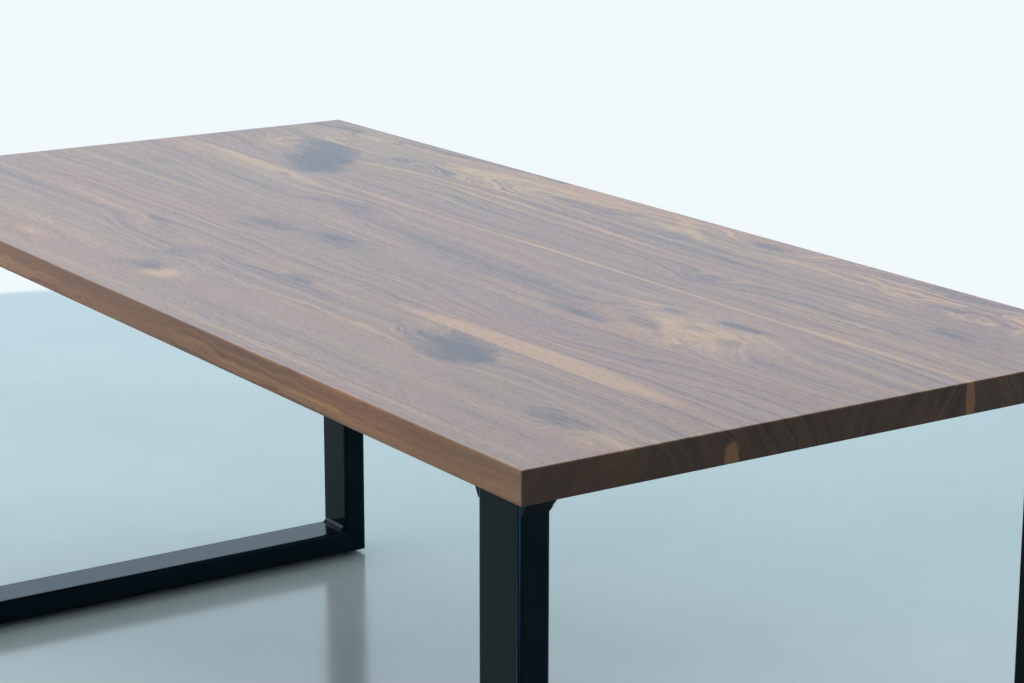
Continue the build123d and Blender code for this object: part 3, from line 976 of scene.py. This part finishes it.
def floor_material():
    """Pale sealed floor, ground smooth. It gives the eye a soft blue-grey with a wet sheen, and
    turns into the backdrop far away."""
    look = bpy.context.scene.table_stage
    material, tree, shader = new_material("sealed_pale_floor")
    place = put(tree, "ShaderNodeTexCoord").outputs["Object"]
    cloud = put(tree, "ShaderNodeTexNoise", {
        "Vector": place, "Scale": 1.6, "Detail": 5.0, "Roughness": 0.6})
    cloud = put(tree, "ShaderNodeMapRange", {
        "Value": cloud.outputs["Fac"], "From Min": 0.3, "From Max": 0.7})
    colour = put(tree, "ShaderNodeMix", {
        "Factor": cloud, "A": look.floor, "B": look.floor_cloud}, data_type="RGBA")
    rough = put(tree, "ShaderNodeMath", {
        0: cloud, 1: 0.05, 2: 0.13}, operation="MULTIPLY_ADD")
    bump = put(tree, "ShaderNodeBump", {"Height": cloud, "Strength": 0.02, "Distance": 0.002})
    connect(tree, shader, colour, rough, bump)

    far = put(tree, "ShaderNodeVectorMath", {
        0: place, 1: FLOOR_MIDDLE}, operation="DISTANCE")
    far = put(tree, "ShaderNodeMapRange", {
        "Value": far.outputs["Value"], "From Min": look.floor_radius - FADE,
        "From Max": look.floor_radius + FADE}, interpolation_type="SMOOTHSTEP")
    glow = put(tree, "ShaderNodeEmission", {"Color": look.backdrop, "Strength": 1.0})
    mix = put(tree, "ShaderNodeMixShader", {0: far, 1: shader, 2: glow})
    output = next(n for n in tree.nodes if n.type == "OUTPUT_MATERIAL")
    tree.links.new(mix.outputs[0], output.inputs["Surface"])
    return material


def add_light(name, size, place, aim, power, colour):
    """A soft rectangular light that the camera doesn't see."""
    lamp = bpy.data.lights.new(name, "AREA")
    lamp.shape = "RECTANGLE"
    lamp.size, lamp.size_y = size
    lamp.energy = power
    lamp.color = linear(colour)[:3]
    obj = bpy.data.objects.new(name, lamp)
    obj.location = place
    obj.rotation_euler = (Vector(aim) - Vector(place)).to_track_quat("-Z", "Y").to_euler()
    obj.visible_camera = False
    bpy.context.scene.collection.objects.link(obj)


class TABLE_OT_stage(bpy.types.Operator):
    """Set up the floor, the backdrop, the lights and the camera"""

    bl_idname = "table.stage"
    bl_label = "Stage"

    def execute(self, context):
        scene = context.scene
        look = scene.table_stage
        bm = bmesh.new()
        bmesh.ops.create_circle(bm, cap_ends=True, segments=128, radius=FLOOR_REACH)
        bmesh.ops.recalc_face_normals(bm, faces=bm.faces)
        mesh = bpy.data.meshes.new("floor")
        bm.to_mesh(mesh)
        bm.free()
        if mesh.polygons[0].normal.z < 0:
            mesh.flip_normals()
        floor = bpy.data.objects.new("floor", mesh)
        mesh.materials.append(floor_material())
        scene.collection.objects.link(floor)

        world = bpy.data.worlds.new("studio")
        world.use_nodes = True
        world.node_tree.nodes.clear()
        tree = world.node_tree
        light = put(tree, "ShaderNodeBackground", {
            "Color": look.fill, "Strength": look.fill_strength})
        seen = put(tree, "ShaderNodeBackground", {"Color": look.backdrop, "Strength": 1.0})
        ray = put(tree, "ShaderNodeLightPath")
        mix = put(tree, "ShaderNodeMixShader", {
            0: ray.outputs["Is Camera Ray"], 1: light, 2: seen})
        put(tree, "ShaderNodeOutputWorld", {"Surface": mix})
        scene.world = world

        # Name, size, place, the point it faces, watts, colour
        add_light("overhead", (5.0, 4.0), (-1.2, -0.6, 3.6), (-0.6, -0.3, 0.7), 85.0, "#ffffff")
        add_light("low_wall", (10.0, 2.0), (-4.2, 2.8, 1.05), (0.0, 0.0, 1.0), 56.0, "#bae4f6")
        add_light("high_wall", (10.0, 2.6), (-4.2, 2.8, 3.35), (0.0, 0.0, 1.9), 138.0, "#dbe4f8")
        add_light("front", (5.0, 2.2), (-1.5, -4.6, 1.9), (-0.2, 0.0, 0.6), 51.0, "#ffb28e")
        # Two strips on the floor that put a line of light on the tubes' rounded corners
        add_light("near_strip", (0.7, 1.1), (1.85, -2.2, 0.02), (1.85, -2.2, 1.0), 18.0, "#b4d0ff")
        add_light("far_strip", (0.26, 1.7), (0.3, -2.0, 0.02), (0.3, -2.0, 1.0), 6.0, "#b4d0ff")

        scene.view_settings.view_transform = "Standard"
        camera = bpy.data.cameras.new("camera")
        camera.sensor_width = 36.0
        camera.lens = look.lens
        camera.clip_end = 200.0
        eye = bpy.data.objects.new("camera", camera)
        eye.matrix_world = (
            Matrix.Translation(look.camera_place)
            @ Matrix.Rotation(look.camera_turn, 4, "Z")
            @ Matrix.Rotation(math.pi / 2 - look.camera_dip, 4, "X")
            @ Matrix.Rotation(look.camera_roll, 4, "Z")
        )
        scene.collection.objects.link(eye)
        scene.camera = eye
        return {"FINISHED"}


class TABLE_PT_panel(bpy.types.Panel):
    """Shows a button for each step and the table's settings"""

    bl_idname = "TABLE_PT_panel"
    bl_label = "Dining table"
    bl_space_type = "VIEW_3D"
    bl_region_type = "UI"
    bl_category = "Table"

    def draw(self, context):
        for operator in OPERATORS:
            self.layout.operator(operator.bl_idname)
        for name, group in SETTINGS.items():
            box = self.layout.box()
            for key in group.__annotations__:
                box.prop(getattr(context.scene, name), key)


OPERATORS = [
    TABLE_OT_walnut_top,
    TABLE_OT_steel_frames,
    TABLE_OT_weld_beads,
    TABLE_OT_fixings,
    TABLE_OT_levelling_feet,
    TABLE_OT_stage,
]
CLASSES = [*SETTINGS.values(), *OPERATORS, TABLE_PT_panel]


def register():
    for cls in CLASSES:
        bpy.utils.register_class(cls)
    for name, group in SETTINGS.items():
        setattr(bpy.types.Scene, name, PointerProperty(type=group))


def unregister():
    for name in SETTINGS:
        delattr(bpy.types.Scene, name)
    for cls in reversed(CLASSES):
        bpy.utils.unregister_class(cls)


def main():
    register()
    kept = set(frame["nodes"].values()) | set(frame["bodies"].values())
    for obj in list(bpy.data.objects):
        if obj not in kept:
            bpy.data.objects.remove(obj)
    bpy.ops.table.walnut_top()
    bpy.ops.table.steel_frames()
    bpy.ops.table.weld_beads()
    bpy.ops.table.fixings()
    bpy.ops.table.levelling_feet()
    bpy.ops.table.stage()


if __name__ == "__main__":
    main()
